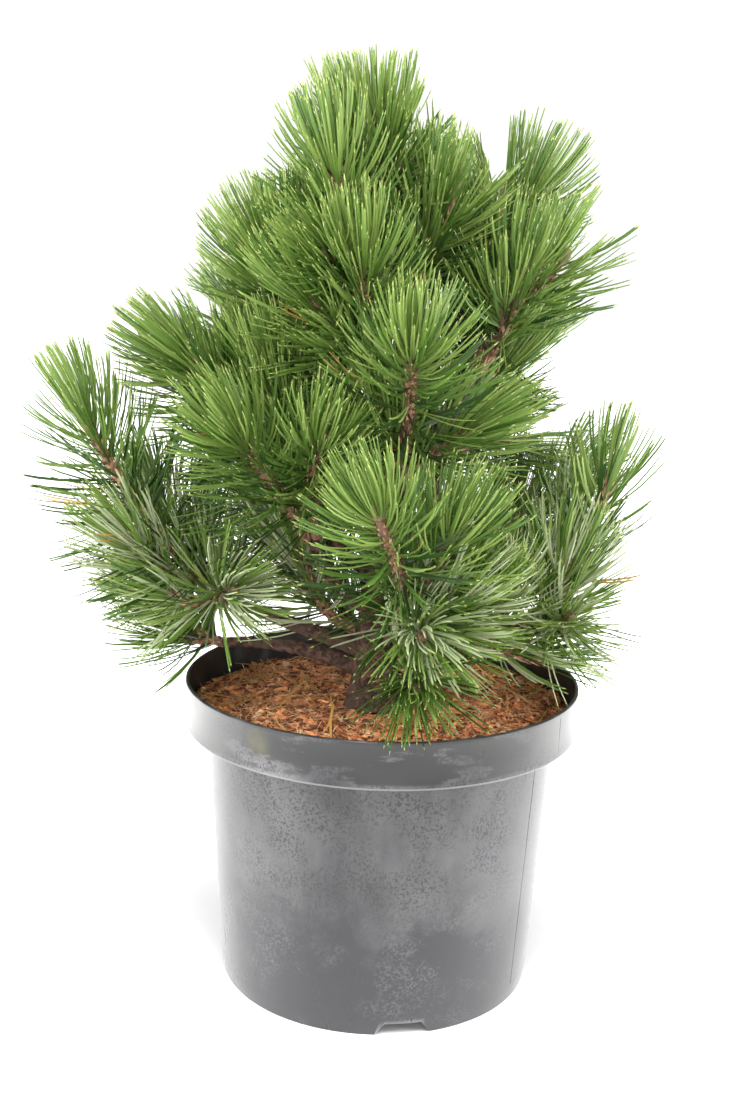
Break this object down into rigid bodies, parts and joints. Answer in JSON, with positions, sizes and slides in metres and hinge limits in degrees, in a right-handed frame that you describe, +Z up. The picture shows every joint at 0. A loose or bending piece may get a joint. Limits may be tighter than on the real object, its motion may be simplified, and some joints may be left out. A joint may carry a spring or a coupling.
{
  "type": "potted bosnian pine",
  "caption": "Young Bosnian pine with dense tufts of long stiff green needles, in a round black nursery pot filled with bark mix",
  "frame": {"origin": "the middle of the pot's flat underside, on the floor", "axes": "+Z is up, -Y is the front that the picture shows, +X is its right"},
  "size_m": [0.4014, 0.3629, 0.5929],
  "materials": {
    "pot_plastic": "semi-gloss black plastic with a dry pale water haze",
    "potting_mix": "loose red-brown bark and fibre",
    "bark": "rough young pine bark",
    "needles": "stiff green needles with pale tips"
  },
  "bodies": {
    "root": {"bough_back": "bark", "bough_front": "bark", "bough_front_left": "bark", "bough_long_left": "bark", "bough_low_back_left": "bark", "bough_low_back_right": "bark", "bough_low_front": "bark", "bough_low_left": "bark", "bough_low_right": "bark", "bough_mid_left": "bark", "bough_mid_right": "bark", "bough_right": "bark", "bough_top_back_left": "bark", "bough_top_back_right": "bark", "bough_top_right": "bark", "bough_upper_back_left": "bark", "bough_upper_back_right": "bark", "bough_upper_front": "bark", "bough_upper_left": "bark", "bough_upper_right": "bark", "needles_back": "needles", "needles_back_left": "needles", "needles_back_right": "needles", "needles_centre_right": "needles", "needles_far_left": "needles", "needles_far_right": "needles", "needles_front_centre": "needles", "needles_front_left_centre": "needles", "needles_front_low_centre": "needles", "needles_inner_left": "needles", "needles_leader": "needles", "needles_left_centre": "needles", "needles_left_front": "needles", "needles_low_back": "needles", "needles_low_front": "needles", "needles_low_left": "needles", "needles_low_right": "needles", "needles_mid_left": "needles", "needles_mid_left_inner": "needles", "needles_mid_right": "needles", "needles_right_front": "needles", "needles_right_low_front": "needles", "needles_top_back": "needles", "needles_top_back_left": "needles", "needles_top_back_right": "needles", "needles_top_front": "needles", "needles_top_inner_right": "needles", "needles_top_left": "needles", "needles_top_right": "needles", "needles_upper_back_left": "needles", "needles_upper_back_right": "needles", "needles_upper_front": "needles", "needles_upper_left": "needles", "needles_upper_mid_right": "needles", "needles_upper_right": "needles", "needles_upper_right_inner": "needles", "pot": "pot_plastic", "soil": "potting_mix", "trunk": "bark"}
  },
  "joints": []
}
